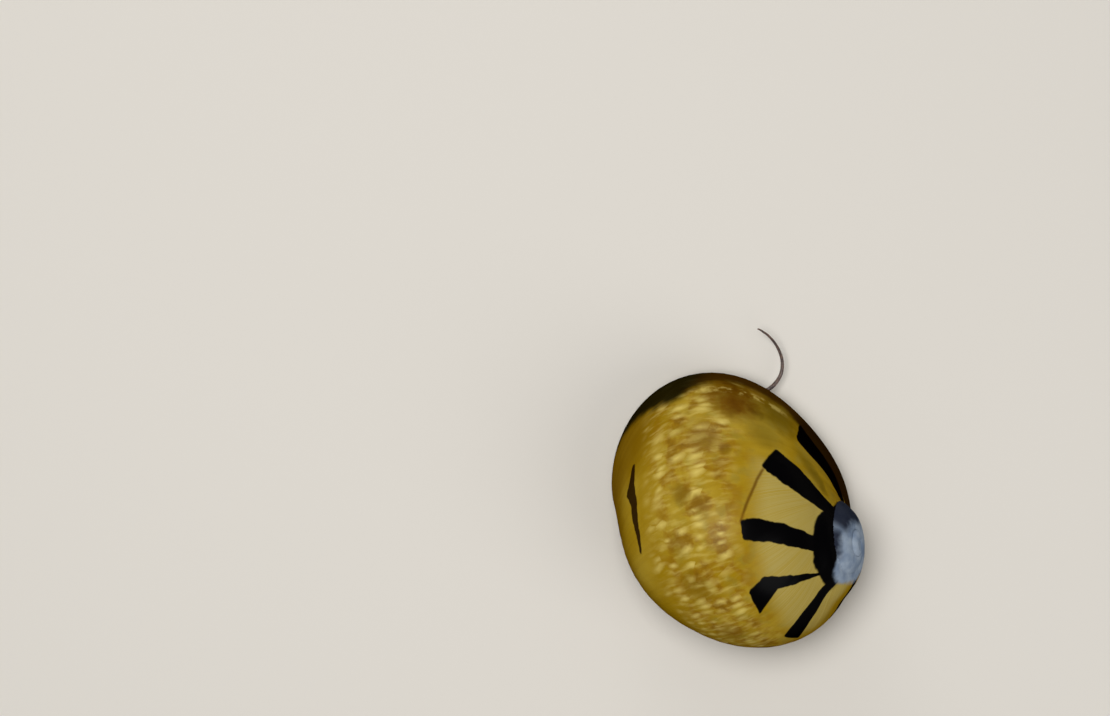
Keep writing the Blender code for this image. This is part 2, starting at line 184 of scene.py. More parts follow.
def shell_point(turn, angle):
    """Point of the outer surface where the section has turned this far."""
    along, out = section(angle)
    level = FRONT * math.cos(turn) + UNDER * math.sin(turn)
    grown = math.exp(GROWTH * turn)
    spire_side = smooth_step(angle, math.radians(60), math.radians(90))
    rise = SPIRE_RISE * spire_side * (1 - smooth_step(out * grown, *SPIRE_RISE_FADES))
    return swollen(APEX + AXIS * (along * grown - rise) + level * out * grown)


SUTURE = first_root(lambda a: later_whorl(a).length - 1, math.radians(108), math.radians(200))
SEAM = math.atan2(later_whorl(SUTURE).y, later_whorl(SUTURE).x)
LAST_TURN = first_root(lambda t: shell_point(t, SUTURE).z - MOUTH_UP, 0, math.radians(120))
suture_at, meets_at = math.degrees(SUTURE), math.degrees(LAST_TURN)
print(f"suture at {suture_at:.1f} degrees, the lip meets it at turn {meets_at:.1f}")

# %% [markdown]
# ## The outer shell
#
# The surface is one long grid rolled up: its columns are sections, from the lip back to the spire,
# and its rows run along the whorl. Below its widest line the last whorl is drawn in to a rounded
# base. Rows that meet at the suture are merged, so that the whorls are one closed skin of shell.

# %% Columns of the grid
SHELL_COLUMNS = 240  # round one whorl
SHELL_ROWS = 96  # across it, from lip to suture
SPIRE_TURNS = 1.75
BASE_DRAWN_IN = 1.1 * MM
BASE_STARTS = (math.radians(-212), math.radians(-150))
BASE_DEEPENS = (math.radians(-135), math.radians(-38))
WELD = 0.002 * MM


def turn_at(column):
    return LAST_TURN - math.tau * column / SHELL_COLUMNS


def lowest_angle(column):
    """Where the exposed part of a section ends: at the lip, or at the whorl that covers it."""
    if column == 0:
        return SUTURE
    if column >= SHELL_COLUMNS:
        return SEAM
    return first_root(lambda a: shell_point(turn_at(column), a).z - MOUTH_UP, SUTURE, -math.pi / 2)


def lowest_peak(values):
    """Place of the first value that the next one doesn't exceed."""
    last = len(values) - 1
    return next((at for at in range(last) if values[at] >= values[at + 1]), last)


def whorl_column(column):
    """Angles and points of one section from the lip up to the suture."""
    turn = turn_at(column)
    low = lowest_angle(column)
    angles = [low + (SUTURE - low) * row / SHELL_ROWS for row in range(SHELL_ROWS + 1)]
    points = [shell_point(turn, angle) for angle in angles]
    widest = lowest_peak([how_wide(point) for point in points])
    edge = points[widest]
    fullness = smooth_step(turn, *BASE_STARTS)
    if column == 0 or fullness == 0:
        return angles, points
    drawn_in = BASE_DRAWN_IN * (1 - smooth_step(turn, *BASE_DEEPENS))
    inward = -edge.to_2d().normalized().to_3d() * drawn_in
    for row in range(widest):
        bend = (widest - row) / widest * math.pi / 2
        drop = Vector((0, 0, (MOUTH_UP - edge.z) * math.sin(bend)))
        full = edge + drop + inward * (1 - math.cos(bend))
        points[row] = points[row].lerp(full, fullness)
    return angles, points


columns = round(SHELL_COLUMNS * (1 + SPIRE_TURNS))
places = [whorl_column(column) for column in range(columns + 1)]
print(f"{columns + 1} sections of {SHELL_ROWS + 1} points")

# %% [markdown]
# A growth line is a place where the lip once was, so the age of a point is how far the section
# has turned since the lip passed that angle. Growth lines, the dark band along the lip and the
# rests in growth all follow the age, while wear follows the distance from the coiling axis. Both
# go into a second UV map, next to the map with the two angles.

# %% Age of each point, and the lines of growth
lip_turns = [turn_at(column) for column in range(SHELL_COLUMNS)]
lip_angles = [places[column][0][0] for column in range(SHELL_COLUMNS)]
oldest = lip_angles.index(min(lip_angles))
LIP_LIMIT = math.radians(70)  # the growth lines run together at the back of the lip
lip_turns = [turn if turn > 0 else LIP_LIMIT * math.tanh(turn / LIP_LIMIT) for turn in lip_turns]
LIP = np.array([lip_angles[:oldest + 1][::-1], lip_turns[:oldest + 1][::-1]])


def age(turn, angle):
    """How far the section has turned since the lip was here, in radians."""
    return float(np.interp(angle, LIP[0], LIP[1])) - turn


SPIRE_FROM = math.radians(60)  # the base comes near the coiling axis too, but only the spire wears
FAR_OUT = 10  # millimetres from the axis that count as 1 in the growth map


def from_spire(turn, angle):
    """Distance from the coiling axis, for the spire's side of the shell only."""
    on_spire = angle > SPIRE_FROM or turn < LAST_TURN - math.tau
    return from_axis(turn, angle) if on_spire else FAR_OUT * MM


RESTS = (  # age at each rest in growth, and the groove's depth in millimetres
    (0.34, 0.016), (0.95, 0.02), (1.5, 0.016), (2.3, 0.02), (3.2, 0.016), (4.2, 0.018),
)
REST_WIDE = 0.035
LINE_HIGH, LUMP_HIGH, PIT_DEEP = 0.006, 0.02, 0.025  # millimetres
WEAR_ENDS = (2.3 * MM, 3 * MM)
SUTURE_GROOVE, GROOVE_WIDE = 0.06 * MM, math.radians(2.2)


def relief(turn, angle, point):
    """How far growth, wear and the suture raise or sink the surface here."""
    years = age(turn, angle)
    wave = math.sin(years * 34 + 2 * math.sin(years * 5.3)) + 0.6 * math.sin(years * 71 + angle)
    height = LINE_HIGH * wave * (0.6 + 0.4 * noise.noise(Vector((years * 3, angle * 2, 0))))
    height -= sum(depth * math.exp(-((years - rest) / REST_WIDE) ** 2) for rest, depth in RESTS)
    height += LUMP_HIGH * noise.noise(point / (2.5 * MM))
    worn = 1 - smooth_step(from_spire(turn, angle), *WEAR_ENDS)
    pits = max(noise.noise(point / (0.42 * MM)) - 0.05, 0)
    pits += 0.5 * abs(noise.noise(point / (0.16 * MM)))
    height = height * (1 - worn) - PIT_DEEP * pits * worn
    height *= smooth_step(years, 0, 0.06)
    return height * MM - SUTURE_GROOVE * math.exp(-((SUTURE - angle) / GROOVE_WIDE) ** 2)


print(f"the lip was followed through {len(LIP[0])} angles, with {len(RESTS)} rests in growth")

# %% The grid, rolled up and joined at the suture
shell = bmesh.new()
bmesh.ops.create_grid(shell, x_segments=columns, y_segments=SHELL_ROWS, size=0.5)
spiral_map = shell.loops.layers.uv.new("spiral")
growth_map = shell.loops.layers.uv.new("growth")
raised = shell.verts.layers.float.new("raised")
marks = {}
for vert in shell.verts:
    column = round((0.5 - vert.co.x) * columns)
    row = round((vert.co.y + 0.5) * SHELL_ROWS)
    turn, angle = turn_at(column), places[column][0][row]
    vert.co = places[column][1][row]
    vert[raised] = relief(turn, angle, vert.co)
    wear = from_spire(turn, angle) / (FAR_OUT * MM)
    marks[vert.index] = (turn / math.tau, angle / math.pi), (age(turn, angle) / math.tau, wear)
for face in shell.faces:
    for loop in face.loops:
        loop[spiral_map].uv, loop[growth_map].uv = marks[loop.vert.index]
bmesh.ops.remove_doubles(shell, verts=shell.verts, dist=WELD)
bmesh.ops.recalc_face_normals(shell, faces=shell.faces)
print(f"outer surface: {len(shell.faces)} faces")

# %% [markdown]
# The tip of the spire is worn flat, so the open end of the grid is closed with one shallow fan.
# The lip is thick and rounded like the rim of a cup: its edge is extruded inwards ring by ring,
# and the wall goes up behind it until the mantle hides it.

# %% Spire tip, lip and inner wall
APEX_WORN = 0.1 * MM
LIP_RINGS = (  # inward and up from the outer edge, in millimetres
    (0.06, -0.05), (0.16, -0.08), (0.3, -0.07), (0.44, -0.03), (0.54, 0.05), (0.6, 0.2),
    (0.63, 0.6), (0.7, 1.1), (0.85, 1.8),
)


def new_ring(bm, edges):
    """Extrude a ring of edges and give back the new points, edges and faces."""
    grown = bmesh.ops.extrude_edge_only(bm, edges=edges)["geom"]
    verts = [item for item in grown if isinstance(item, bmesh.types.BMVert)]
    known = set(verts)
    rim = [item for item in grown
           if isinstance(item, bmesh.types.BMEdge) and known.issuperset(item.verts)]
    return verts, rim, [item for item in grown if isinstance(item, bmesh.types.BMFace)]


open_edges = [edge for edge in shell.edges if edge.is_boundary]
lip = [edge for edge in open_edges if max(vert.co.z for vert in edge.verts) < MOUTH_UP + 0.01 * MM]
tip = [edge for edge in open_edges if edge not in set(lip)]
LIP_OUTLINE = [vert.co.copy() for vert in {vert for edge in lip for vert in edge.verts}]
fan = bmesh.ops.holes_fill(shell, edges=tip, sides=0)["faces"]
centre = bmesh.ops.poke(shell, faces=fan)["verts"][0]
centre.co = swollen(APEX + AXIS * (APEX_WORN - SPIRE_RISE))
shell.normal_update()
for vert in shell.verts:
    vert.co += vert.normal * vert[raised]
inward_before, up_before, rim, lip_faces = 0, 0, lip, []
for inward, up in LIP_RINGS:
    verts, rim, faces = new_ring(shell, rim)
    lip_faces += faces
    for vert in verts:
        way = -vert.co.to_2d().normalized().to_3d()
        vert.co += way * (inward - inward_before) * MM + Vector((0, 0, (up - up_before) * MM))
    inward_before, up_before = inward, up
for face in lip_faces:
    face.material_index = 1
bmesh.ops.recalc_face_normals(shell, faces=shell.faces)
print(f"lip of {len(lip)} edges, {len(shell.faces)} faces in all")

# %% [markdown]
# ## Helpers for materials
#
# Every finish here is built from nodes. A few helpers keep that readable: they add math nodes,
# colour mixes, soft thresholds and noises, and make and place node groups. All of them work on
# the node tree that is called tree at that moment, which each finish or group sets first.

# %% Node helpers
def feed(socket, value):
    """Link a socket of the current tree, or set its value."""
    if isinstance(value, bpy.types.NodeSocket):
        tree.links.new(value, socket)
    else:
        socket.default_value = value


def feed_all(node, values):
    """Feed several inputs of a node, given by name."""
    for name, value in values.items():
        feed(node.inputs[name], value)


def add(kind, **settings):
    """New node; settings are its properties."""
    node = tree.nodes.new("ShaderNode" + kind)
    for name, value in settings.items():
        setattr(node, name, value)
    return node


def calc(operation, *values):
    """Math node, its output."""
    node = add("Math", operation=operation)
    for socket, value in zip(node.inputs, values):
        feed(socket, value)
    return node.outputs[0]


def minus(value, taken):
    """Difference of two values."""
    return calc("SUBTRACT", value, taken)


def over(value, part):
    """One value divided by another."""
    return calc("DIVIDE", value, part)


def scaled(value, by, plus):
    """The value times one number, plus another."""
    return calc("MULTIPLY_ADD", value, by, plus)


def times(*values):
    """Product of several values."""
    product = values[0]
    for value in values[1:]:
        product = calc("MULTIPLY", product, value)
    return product


def sway(noise_value, amount, value):
    """The value, moved to both sides by a noise."""
    return scaled(minus(noise_value, 0.5), amount, value)


def soft(value, low, high):
    """0 below low, 1 above high and a soft change between."""
    node = add("MapRange", interpolation_type="SMOOTHSTEP")
    feed_all(node, {"Value": value, "From Min": low, "From Max": high})
    return node.outputs["Result"]


def less(value, low, high):
    """1 below low, 0 above high and a soft change between."""
    return minus(1, soft(value, low, high))


def mix(share, first, second):
    """Colour between two."""
    node = add("Mix", data_type="RGBA")
    for index, value in ((0, share), (6, first), (7, second)):
        feed(node.inputs[index], value)
    return node.outputs[2]


def speckle(vector, scale, detail=3, rough=0.55, kind="3D"):
    """Noise, its value."""
    node = add("TexNoise", noise_dimensions=kind)
    feed_all(node, {"Vector": vector, "Scale": scale, "Detail": detail, "Roughness": rough})
    return node.outputs["Fac"]


def join(x, y, z=0):
    """Vector from three numbers."""
    node = add("CombineXYZ")
    for socket, value in zip(node.inputs, (x, y, z)):
        feed(socket, value)
    return node.outputs[0]


def new_group(name, inputs, outputs):
    """Shader node group that takes and gives numbers, with its inner input and output sockets."""
    group = bpy.data.node_groups.new(name, "ShaderNodeTree")
    for way, labels in (("INPUT", inputs), ("OUTPUT", outputs)):
        for label in labels:
            group.interface.new_socket(label, in_out=way, socket_type="NodeSocketFloat")
    return group, group.nodes.new("NodeGroupInput").outputs, group.nodes.new("NodeGroupOutput").inputs


def place_group(group, values):
    """Put a group in a tree and give its outputs."""
    node = add("Group", node_tree=group)
    feed_all(node, values)
    return node.outputs


def hue(red, green, blue):
    """Colour from the 0 to 255 values that a picture shows."""
    return tuple((part / 255) ** 2.2 for part in (red, green, blue)) + (1,)


def object_place():
    """Place on the piece, the same for every finish without a map of its own."""
    return add("TexCoord").outputs["Object"]


def uv_parts(name):
    """The two numbers of a UV map."""
    parts = add("SeparateXYZ")
    feed(parts.inputs[0], add("UVMap", uv_map=name).outputs[0])
    return parts.outputs[0], parts.outputs[1]


def new_material(name, roughness, coat=0, coat_roughness=0.06):
    """Material, its tree and its shader's inputs."""
    material = bpy.data.materials.new(name)
    material.use_nodes = True
    inputs = material.node_tree.nodes["Principled BSDF"].inputs
    inputs["Roughness"].default_value = roughness
    inputs["Coat Weight"].default_value = coat
    inputs["Coat Roughness"].default_value = coat_roughness
    return material, material.node_tree, inputs


def bump(height, depth):
    """Bump node, its normal; depth is in metres."""
    node = add("Bump")
    feed_all(node, {"Height": height, "Distance": depth, "Strength": 1})
    return node.outputs[0]


print("helpers ready")

# %% [markdown]
# ## Stripes
#
# The black stripes fan out from the spire. Each one keeps nearly the same turn and differs in how
# it leans, bends, widens and ends, so one group with those inputs draws them all. Its two
# angles can be swapped, and then it draws a streak that runs along the whorl. The corners are
# rounded by measuring how deep a point lies inside both edges at once.

# %% The stripe group
CORNER, EDGE_SOFT = 1.6, 0.45  # radius of a stripe's corners and half its soft edge, in degrees
STRIPE_LABELS = ("Middle", "Lean", "Bend", "Half Width", "Widens", "Starts", "Start Lean", "Ends")
tree, given, result = new_group("stripe", ("Along", "Across") + STRIPE_LABELS, ("Mask",))
stripe_group = tree
far = over(minus(given["Across"], 120), 10)
bend = scaled(times(given["Bend"], far), far, given["Middle"])
middle = scaled(given["Lean"], far, bend)
off = minus(given["Along"], middle)
half = scaled(given["Widens"], far, given["Half Width"])
inside = minus(half, calc("ABSOLUTE", off))
start = scaled(given["Start Lean"], off, given["Starts"])
past_start = minus(given["Across"], start)
before_end = minus(given["Ends"], given["Across"])
lacking = [calc("MAXIMUM", minus(CORNER, depth), 0)
           for depth in (inside, calc("MINIMUM", past_start, before_end))]
squares = scaled(lacking[0], lacking[0], times(lacking[1], lacking[1]))
depth = minus(CORNER, calc("SQRT", squares))
feed(result["Mask"], soft(depth, -EDGE_SOFT, EDGE_SOFT))
print("stripe group:", len(tree.nodes), "nodes")

# %% Where the stripes are, in degrees
STRIPES = (  # middle, lean, bend, half width, widens, starts, start lean, ends
    (-4, 0.2, 2.2, 8.6, 0.4, 117.4, -0.25, 176),
    (-42.3, -0.9, 0.85, 8.7, 0.2, 109, 0.41, 176),
    (-80.5, -1.15, -0.37, 6.3, 0.5, 95.4, 0.05, 176),
    (-110.3, -2, -0.4, 3.1, -0.7, 98, 1, 176),
    (-107.3, 3.87, 0, -2.8, -3.93, 92.2, 0.05, 118),
    (-104, 2.43, 0, 8, 2.43, 92.2, 0.3, 103),
    (-146.4, 4.8, -0.6, 7.2, -0.5, 95.6, -0.12, 176),
    (-195, 1, -0.4, 5.5, 0.8, 110, 0.2, 176),
    (-222, -1.5, 0.3, 6, 0, 98, -0.2, 176),
    (-249, 2, 0, 5, 0.8, 108, 0.3, 176),
    (-272, 0, 0.3, 6, 0, 112, 0, 176),
)
STREAKS = (  # the same with the angles swapped; a turn of -70 degrees is 120
    (27.6, 2.07, -0.22, 3.05, -1.1, 107, 0, 139),
    (21.9, -2.5, 0, 7, 2.5, 97, 0, 110.5),
    (14, 0.6, -0.3, 2, -0.5, 158, 0.5, 190),
    (-6, 0.8, -0.4, 2.4, -0.6, 118, 0.4, 150),
)
print(len(STRIPES), "stripes and", len(STREAKS), "streaks")

# %% [markdown]
# ## Flecks
#
# The golden shell carries rows of small pale dashes that run across the whorl and lean a little
# from the growth lines. Cells of a Voronoi texture, stretched that way, give one dash per cell, and
# the random colour of a cell makes some large and drops others. Faint strokes and soft brown clouds
# lie between them.

# %% The fleck group
tree, given, result = new_group(
    "flecks", ("Turn", "Angle", "Long", "Wide"), ("Pale", "Strokes", "Cloud"))
fleck_group = tree
leaning = scaled(given["Angle"], -0.2, given["Turn"])
cells = add("TexVoronoi", voronoi_dimensions="2D")
cell = join(over(leaning, given["Wide"]), over(given["Angle"], given["Long"]))
feed_all(cells, {"Vector": cell, "Scale": 1, "Randomness": 0.75})
luck = add("SeparateColor")
feed(luck.inputs[0], cells.outputs["Color"])
size = scaled(luck.outputs[0], 0.35, 0.36)
dash = minus(1, soft(cells.outputs["Distance"], -0.1, size))
dash = times(dash, soft(luck.outputs[1], 0.1, 0.9))
zone = times(soft(given["Angle"], 34, 46), less(given["Angle"], 84, 97),
             soft(given["Turn"], -187, -174))
feed(result["Pale"], times(dash, zone))
stroke_place = join(over(leaning, 2.4), over(given["Angle"], 11))
strokes = soft(speckle(stroke_place, 1, 2, 0.5, "2D"), 0.42, 0.78)
feed(result["Strokes"], times(strokes, zone))
cloud_place = join(over(given["Turn"], 8), over(given["Angle"], 11))
feed(result["Cloud"], speckle(cloud_place, 1, 4, 0.55, "2D"))
print("fleck group:", len(tree.nodes), "nodes")

# %% [markdown]
# ## Growth lines
#
# Fine growth lines are noise that changes quickly with age and hardly at all across the whorl.
# The same values shade the colour a little and give the bump, so that lines and tone agree.

# %% The growth line group
tree, given, result = new_group("growth lines", ("Age", "Angle"), ("Fine", "Broad"))
growth_group = tree
slow = times(given["Angle"], 0.012)
for label, rate, detail in (("Fine", 2.6, 3), ("Broad", 0.35, 2)):
    along = join(times(given["Age"], rate), slow)
    feed(result[label], speckle(along, 1, detail, 0.55, "2D"))
print("growth group:", len(tree.nodes), "nodes")

# %% [markdown]
# ## The shell's finish
#
# The colours are laid on in the order in which they cover each other: golden ground, cream fields
# between the stripes, brown clouds (some are painted shade near the rim) and pale dashes, painted
# shade on the steep sides, the dark band along the lip, the black stripes, a painted shadow along
# the suture, and last the worn spire, where the coloured layer has gone and bluish white chalk shows.

# %% Colours, and the angles from the UV maps
GOLD, GOLD_DEEP, GOLD_PALE = hue(150, 119, 22), hue(116, 84, 8), hue(168, 140, 46)
CREAM, CREAM_WARM = hue(168, 149, 82), hue(162, 138, 58)
OLIVE, OLIVE_DARK, OCHRE = hue(134, 116, 44), hue(78, 64, 14), hue(136, 96, 18)
# the last gold is a painted shade colour for the steep sides of the shell
GOLD_SIDE_SHADE = hue(92, 64, 6)
FLECK, BROWN, INK = hue(214, 192, 104), hue(88, 54, 6), hue(7, 5, 7)
LIP_GREEN, LIP_BROWN, LIP_RED = hue(18, 18, 8), hue(58, 36, 8), hue(30, 13, 5)
CHALK, CHALK_BLUE, CHALK_DARK = hue(148, 160, 174), hue(106, 122, 144), hue(28, 30, 42)


def ramp(value, stops):
    """Colour along a value; stops are places from 0 to 1 with a colour or a grey level."""
    node = add("ValToRGB")
    line = node.color_ramp
    line.interpolation = "EASE"
    line.elements.remove(line.elements[1])
    for index, (place, tone) in enumerate(stops):
        element = line.elements[0] if index == 0 else line.elements.new(place)
        element.position = place
        element.color = tone if isinstance(tone, tuple) else (tone, tone, tone, 1)
    feed(node.inputs[0], value)
    return node.outputs[0]


shell_finish, tree, shader = new_material("shell_finish", 0.4, coat_roughness=0.28)
shader["Specular IOR Level"].default_value = 0
(turn_share, angle_share), (age_share, far_share) = uv_parts("spiral"), uv_parts("growth")
turn, angle, years = times(turn_share, 360), times(angle_share, 180), times(age_share, 360)
axis_far = times(far_share, FAR_OUT)
place = object_place()
ragged, wander, wander_wide = [speckle(place, scale, 2) for scale in (3200, 1000, 260)]
turn_bent = sway(ragged, 0.8, sway(wander, 2.6, sway(wander_wide, 4, turn)))
angle_bent = sway(ragged, 0.7, sway(wander, 2, sway(wander_wide, 5, angle)))
lines = place_group(growth_group, {"Age": years, "Angle": angle})
flecks = place_group(
    fleck_group, {"Turn": turn_bent, "Angle": angle_bent, "Long": 11, "Wide": 4.1})
print("shell inputs ready")

# %% Masks of stripes and streaks
turn_back = minus(50, turn_bent)


def stripes(rows, along, across):
    """Mask of all the stripes in a table."""
    mask = None
    for numbers in rows:
        values = dict(zip(STRIPE_LABELS, numbers)) | {"Along": along, "Across": across}
        one = place_group(stripe_group, values)["Mask"]
        mask = one if mask is None else calc("MAXIMUM", mask, one)
    return mask


ink, streak = stripes(STRIPES, turn_bent, angle_bent), stripes(STREAKS, angle_bent, turn_back)
print("stripe masks placed")

# %% Ground colours
STAINS_AND_SHADE = (  # turn, angle, half turn, half angle in degrees, strength: brown stains on the gold, some of them painted shade near the rim
    (-17, 87, 13, 18, 0.95), (-10, 104, 15, 16, 0.7), (-28, 104, 9, 11, 0.45),
    (-41, 76, 8, 10, 0.5),
    (-22, 138, 7, 16, 0.6), (-65.3, 64.7, 5, 6, 0.6), (-69.6, 73.9, 5, 6, 0.5),
    (-44.6, 85.6, 3.5, 4, 0.6), (-86.5, 57.6, 6, 7, 0.4), (-106, 62, 8, 11, 0.45),
    (-137, 66, 9, 12, 0.5), (-168, 72, 9, 7, 0.6), (-205, 80, 8, 9, 0.6),
)
ground = mix(soft(wander_wide, 0.34, 0.74), GOLD, GOLD_PALE)
olive = times(soft(wander, 0.45, 0.7), soft(angle_bent, 44, 66), 0.55)
ground = mix(olive, ground, OLIVE)
near_front = times(less(angle_bent, 30, 58), less(years, 26, 48))
low_gold = calc("MAXIMUM", near_front, less(angle_bent, -12, 22))
ground = mix(times(low_gold, 0.75), ground, GOLD_DEEP)
ground = mix(times(soft(lines["Broad"], 0.4, 0.75), 0.16), ground, GOLD_DEEP)
field = times(soft(angle_bent, 96, 112), soft(turn_bent, -178, -164), less(turn_bent, -46, -40))
cream = mix(soft(lines["Fine"], 0.42, 0.72), CREAM, CREAM_WARM)
ground = mix(times(field, 0.9), ground, cream)
link_angle = scaled(calc("ADD", turn_bent, 48.8), 0.408, 106.8)
link_off = calc("ABSOLUTE", minus(angle_bent, link_angle))
link = times(less(link_off, 0, 1.5), soft(turn_bent, -78, -75), less(turn_bent, -50, -46))
ground = mix(times(link, 0.8), ground, BROWN)
fore_part = soft(turn_bent, -187, -174)
ochre = times(fore_part, soft(flecks["Cloud"], 0.42, 0.62), soft(angle_bent, 36, 56),
              less(angle_bent, 88, 106), 0.65)
ground = mix(ochre, ground, OCHRE)
stained_and_shaded = times(fore_part, soft(flecks["Cloud"], 0.52, 0.8), soft(angle_bent, 44, 62),
                less(angle_bent, 80, 100), 0.5)
# Each entry darkens the gold to brown, or to dark olive high on the whorl; most are stains, and some
# are painted shade where the shell turns down near its rim.
for at_turn, at_angle, half_turn, half_angle, strength in STAINS_AND_SHADE:
    along = over(minus(turn_bent, at_turn), half_turn)
    across = over(minus(angle_bent, at_angle), half_angle)
    far = scaled(along, along, times(across, across))
    stain_and_shade = times(less(sway(wander, 1.6, far), -0.3, 1.5), strength)
    stained_and_shaded = calc("MAXIMUM", stained_and_shaded, stain_and_shade)
ground = mix(stained_and_shaded, ground, mix(soft(angle, 90, 104), BROWN, OLIVE_DARK))
clear = less(stained_and_shaded, 0.1, 0.7)
ground = mix(times(flecks["Strokes"], clear, 0.3), ground, FLECK)
ground = mix(times(flecks["Pale"], clear, 0.85), ground, FLECK)
print("ground colours laid")

# %% Lip band, stripes and painted suture shadow
BAND_WIDTHS = (  # angle, width of the band in degrees of growth
    (0, 2), (14, 3.5), (24, 7), (31, 10), (38, 13), (46, 16.5), (54, 19.5), (60, 19), (66, 16),
    (74, 13.5), (104, 13.5), (112, 15), (122, 20), (132, 27), (158, 32),
)
BAND_TONES = ((0, LIP_GREEN), (58, LIP_GREEN), (74, LIP_BROWN), (106, LIP_BROWN), (118, LIP_RED),
              (158, LIP_RED))
WIDEST_BAND, SPECKS_AT = 40, 18  # degrees of growth
bent_share = over(angle_bent, 180)
band_wide = ramp(bent_share, [(at / 180, wide / WIDEST_BAND) for at, wide in BAND_WIDTHS])
band_years = sway(lines["Broad"], 3, sway(wander, 4, years))
band_depth = minus(times(band_wide, WIDEST_BAND), band_years)
brown_part = times(soft(angle, 54, 70), less(angle, 104, 120))
band = times(soft(band_depth, -4, scaled(brown_part, 3, 3)), soft(band_wide, 0, 0.12))
band_tone = ramp(bent_share, [(at / 180, tone) for at, tone in BAND_TONES])
from_row = calc("ABSOLUTE", minus(years, SPECKS_AT))
speck_row = times(soft(sway(ragged, 0.6, wander), 0.42, 0.66), less(from_row, 0.4, 3.2),
                  soft(angle, 60, 70), less(angle, 104, 112))
# Painted shade: the steeper the shell's surface, the more its ground colour darkens to a shaded gold,
# standing in for the darker sides of the dome.
level = add("SeparateXYZ")
feed(level.inputs[0], add("TexCoord").outputs["Normal"])
side_shade = less(level.outputs[2], 0.02, 0.6)
ground = mix(times(side_shade, 0.6), ground, GOLD_SIDE_SHADE)
coloured = mix(times(band, 0.96), ground, band_tone)
coloured = mix(times(speck_row, 0.42), coloured, FLECK)
coloured = mix(times(streak, 0.95), coloured, hue(34, 16, 6))
coloured = mix(ink, coloured, INK)
# Painted shadow: a black ring round the worn spire, beside the suture, stands in for the shade in the
# suture's step.
suture_shade_far = scaled(soft(turn, -72, -18), -1.1, 3.92)
suture_shade_far = scaled(less(turn, -142, -100), -0.6, suture_shade_far)
past_suture_shade = minus(sway(wander, 0.5, axis_far), suture_shade_far)
suture_shade = times(less(past_suture_shade, -0.08, 0.1), soft(turn, -150, -138))
coloured = mix(suture_shade, coloured, INK)
print("coloured layer done")

# %% Worn spire
left_part = times(soft(turn, -178, -140), less(turn, -128, -104))
worn_far = scaled(left_part, 0.5, 2.38)
worn_far = scaled(less(turn, -345, -290), 0.8, worn_far)
worn_far = scaled(soft(turn, -116, -96), -0.5, worn_far)
edge_far = sway(wander, 0.45, sway(ragged, 0.25, axis_far))
worn = less(minus(edge_far, worn_far), -0.34, 0.12)
chalk = mix(soft(wander, 0.25, 0.75), CHALK, CHALK_BLUE)
upper_side = times(soft(turn, -430, -402), less(turn, -335, -300), soft(edge_far, 1.2, 1.9))
left_side = times(soft(turn, -482, -458), less(turn, -430, -402), soft(edge_far, 1.6, 2.2))
chalk = mix(times(calc("MAXIMUM", upper_side, left_side), 0.95), chalk, CHALK_DARK)
feed(shader["Base Color"], mix(worn, coloured, chalk))
feed(shader["Roughness"], scaled(worn, 0.3, sway(wander, 0.15, 0.4)))
polish = times(soft(level.outputs[2], 0.35, 0.95), scaled(worn, -0.8, 1))
feed(shader["Coat Weight"], times(polish, 0.12))
height = calc("ADD", times(lines["Fine"], 0.4), times(lines["Broad"], 0.5))
height = calc("ADD", height, times(ragged, worn, 0.4))
feed(shader["Normal"], bump(height, 0.015 * MM))
print("shell finish:", len(tree.nodes), "nodes")

# %% [markdown]
# The inside of the lip is smooth porcelain, cream with a warm edge, where the outer colour shines
# through a little.

# %% Finish of the lip
porcelain, tree, shader = new_material("porcelain", 0.18, 0.3)
place = object_place()
cloud = speckle(place, 420, 3)
feed(shader["Base Color"], mix(soft(cloud, 0.35, 0.7), hue(226, 214, 172), hue(206, 184, 120)))
feed(shader["Normal"], bump(speckle(place, 1500, 2), 0.008 * MM))


def new_mesh(name, bm, *finishes):
    """Mesh from a bmesh, which is used up."""
    mesh = bpy.data.meshes.new(name)
    bm.to_mesh(mesh)
    bm.free()
    for finish in finishes:
        mesh.materials.append(finish)
    return mesh


def new_object(name, data):
    """Object at the origin, in the scene."""
    thing = bpy.data.objects.new(name, data)
    bpy.context.scene.collection.objects.link(thing)
    return thing


def add_piece(name, bm, slot, *finishes):
    """New piece from a bmesh in the animal's own places: moved to the frame, riding on its body."""
    bmesh.ops.translate(bm, verts=bm.verts, vec=SHIFT)
    mesh = new_mesh(name, bm, *finishes)
    mesh.shade_smooth()
    piece = new_object(name, mesh)
    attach(piece, "root")
    print(f"{name}: {len(mesh.polygons)} faces")
    return piece


shell_piece = add_piece("shell_surface", shell, "shell", shell_finish, porcelain)
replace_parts(shell_piece, "shell")

# %% [markdown]
# ## The deck
#
# A nerite's mouth is half closed by a flat shelf, the deck, whose straight edge carries fine
# teeth. It is a grid laid from that edge back to the lip, crowned a little, with the front edge
# rounded over and up.

# %% Deck
DECK_BEHIND = 1.9 * MM
DECK_TURN = Matrix.Rotation(-math.radians(AXIS_CLOCK + 90), 3, "Z")
DECK_WAY, DECK_SIDE = DECK_TURN @ Vector((0, 1, 0)), DECK_TURN @ Vector((1, 0, 0))
TEETH, TOOTH_LONG, EDGE_WAVE = 26, 0.07 * MM, 0.12 * MM
DECK_SWELL, DECK_EDGE_UP = 0.07 * MM, 0.1 * MM
DECK_FRONT_RINGS = ((0.02, 0.1), (0.06, 0.15), (0.3, 0.35), (1.2, 0.3))  # back and up, millimetres
lip_polar = np.array(sorted((math.atan2(point.y, point.x), point.to_2d().length)
                            for point in LIP_OUTLINE))


def lip_reach(turn):
    """Distance from the mouth's middle to the lip's outer edge in this direction."""
    return float(np.interp(turn, lip_polar[:, 0], lip_polar[:, 1], period=math.tau))


